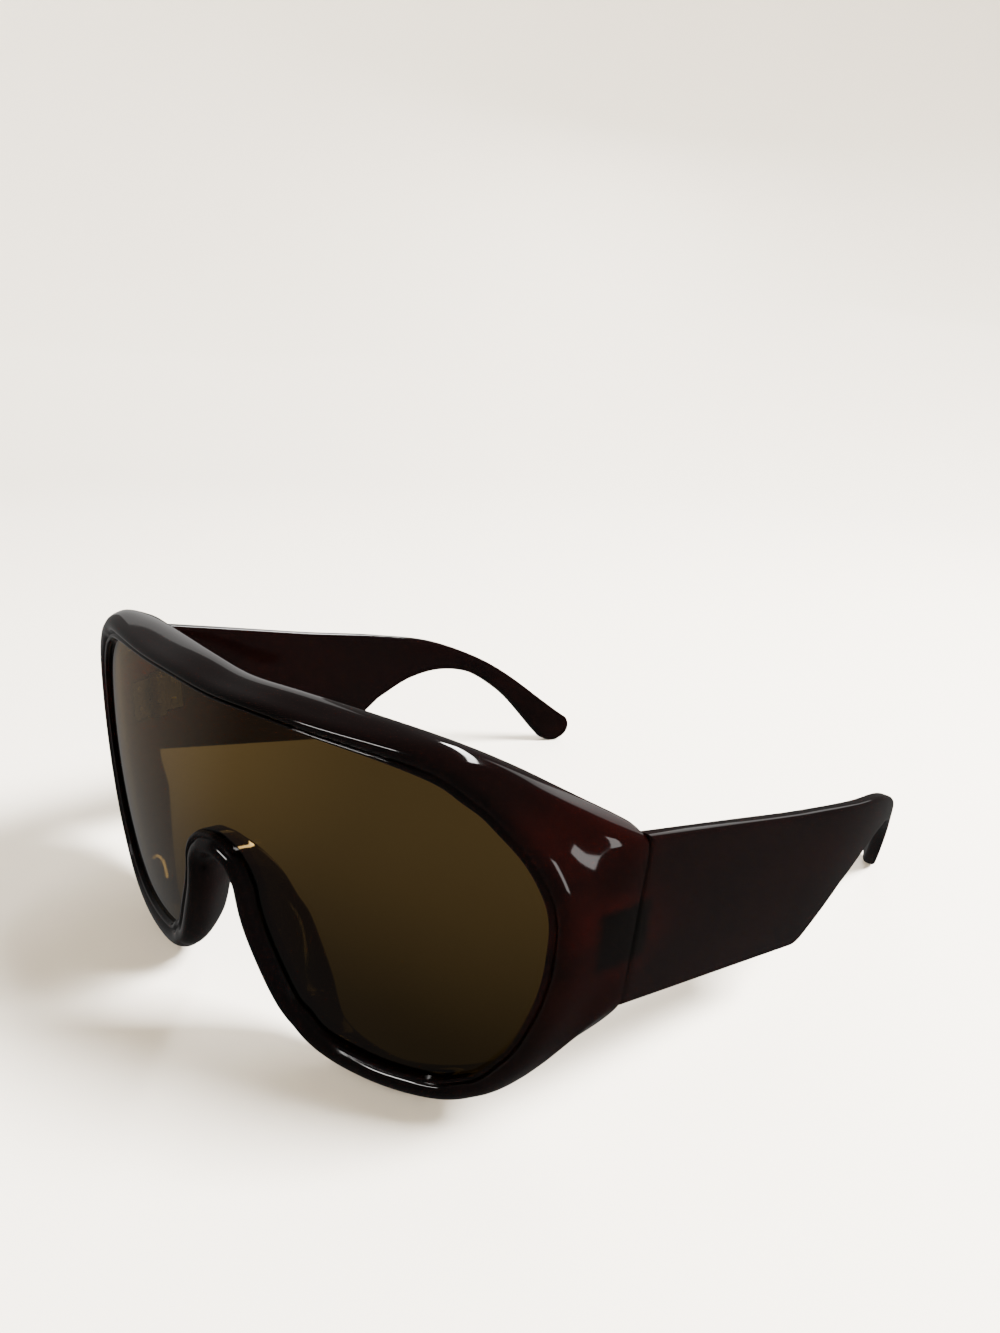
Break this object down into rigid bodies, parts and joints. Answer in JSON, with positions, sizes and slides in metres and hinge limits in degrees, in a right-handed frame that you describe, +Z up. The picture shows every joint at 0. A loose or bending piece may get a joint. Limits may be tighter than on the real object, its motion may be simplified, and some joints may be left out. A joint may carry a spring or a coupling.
{
  "type": "shield sunglasses",
  "caption": "Oversized shield sunglasses with a one-piece curved tinted lens, a rounded plastic front and wide temples that fold on screw hinges.",
  "frame": {"origin": "on the floor under the middle of the open sunglasses' bounding box", "axes": "+Z up, -Y the way the lens faces, +X the wearer's left"},
  "size_m": [0.1446, 0.166, 0.0675],
  "materials": {
    "frame_plastic": "polished, very dark oxblood brown",
    "lens_tint": "polished amber brown tint, darker towards the lower edge",
    "hinge_metal": "satin",
    "fastener_metal": "satin"
  },
  "bodies": {
    "front": {"front_frame": "frame_plastic", "shield_lens": "lens_tint", "left_front_hinge": "hinge_metal", "right_front_hinge": "hinge_metal", "left_hinge_screw": "fastener_metal", "right_hinge_screw": "fastener_metal", "left_front_lower_pin": "fastener_metal", "left_front_upper_pin": "fastener_metal", "right_front_lower_pin": "fastener_metal", "right_front_upper_pin": "fastener_metal"},
    "left_temple": {"left_temple": "frame_plastic", "left_temple_hinge": "hinge_metal", "left_temple_lower_pin": "fastener_metal", "left_temple_upper_pin": "fastener_metal"},
    "right_temple": {"right_temple": "frame_plastic", "right_temple_hinge": "hinge_metal", "right_temple_lower_pin": "fastener_metal", "right_temple_upper_pin": "fastener_metal"}
  },
  "joints": [
    {"name": "left_temple_fold", "type": "hinge", "parent": "front", "child": "left_temple", "pos_m": [0.0663, -0.05253, 0.0398], "axis": [0, 0, 1], "range_deg": [0, 85.2]},
    {"name": "right_temple_fold", "type": "hinge", "parent": "front", "child": "right_temple", "pos_m": [-0.0663, -0.05253, 0.0398], "axis": [0, 0, -1], "range_deg": [0, 70]}
  ]
}
